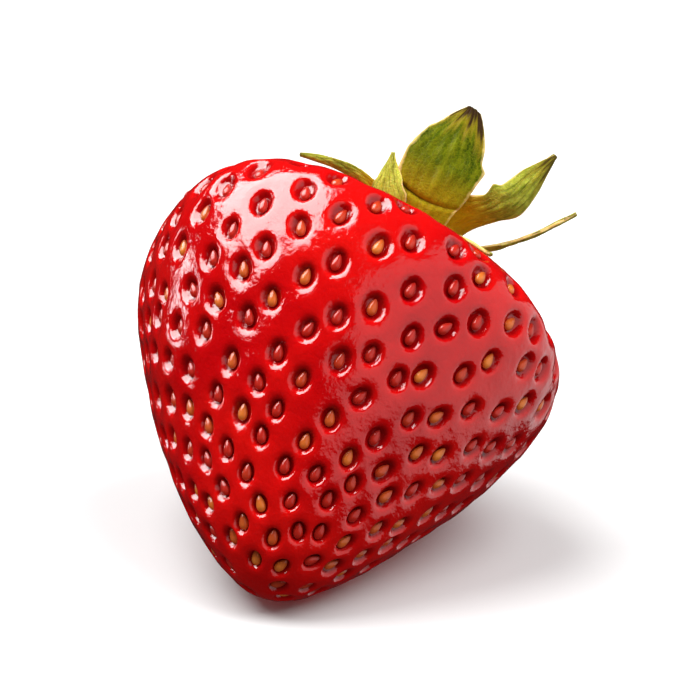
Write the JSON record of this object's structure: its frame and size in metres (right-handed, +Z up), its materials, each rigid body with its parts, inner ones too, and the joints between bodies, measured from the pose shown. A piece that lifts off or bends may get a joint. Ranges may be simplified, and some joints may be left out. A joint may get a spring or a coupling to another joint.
{
  "type": "strawberry",
  "caption": "Ripe red strawberry lying on its side, with a green calyx of curled leaves and a short cut stem.",
  "frame": {"origin": "centre of the footprint, on the surface that the strawberry lies on", "axes": "+Z up, +Y towards the calyx end, -Y towards the tip, +X to the right seen from the tip"},
  "size_m": [0.0416, 0.0488, 0.0392],
  "materials": {
    "skin": "gloss",
    "sepal": "satin",
    "bractlet": "satin",
    "calyx_base": "satin",
    "stem": "satin"
  },
  "bodies": {
    "root": {"fruit": "skin", "calyx_base": "calyx_base", "stem_stub": "stem", "sepal_1": "sepal", "sepal_2": "sepal", "sepal_3": "sepal", "sepal_4": "sepal", "sepal_5": "sepal", "sepal_6": "sepal", "bractlet_1": "bractlet", "bractlet_2": "bractlet", "bractlet_3": "bractlet", "bractlet_4": "bractlet", "bractlet_5": "bractlet", "bractlet_6": "bractlet"}
  },
  "joints": []
}
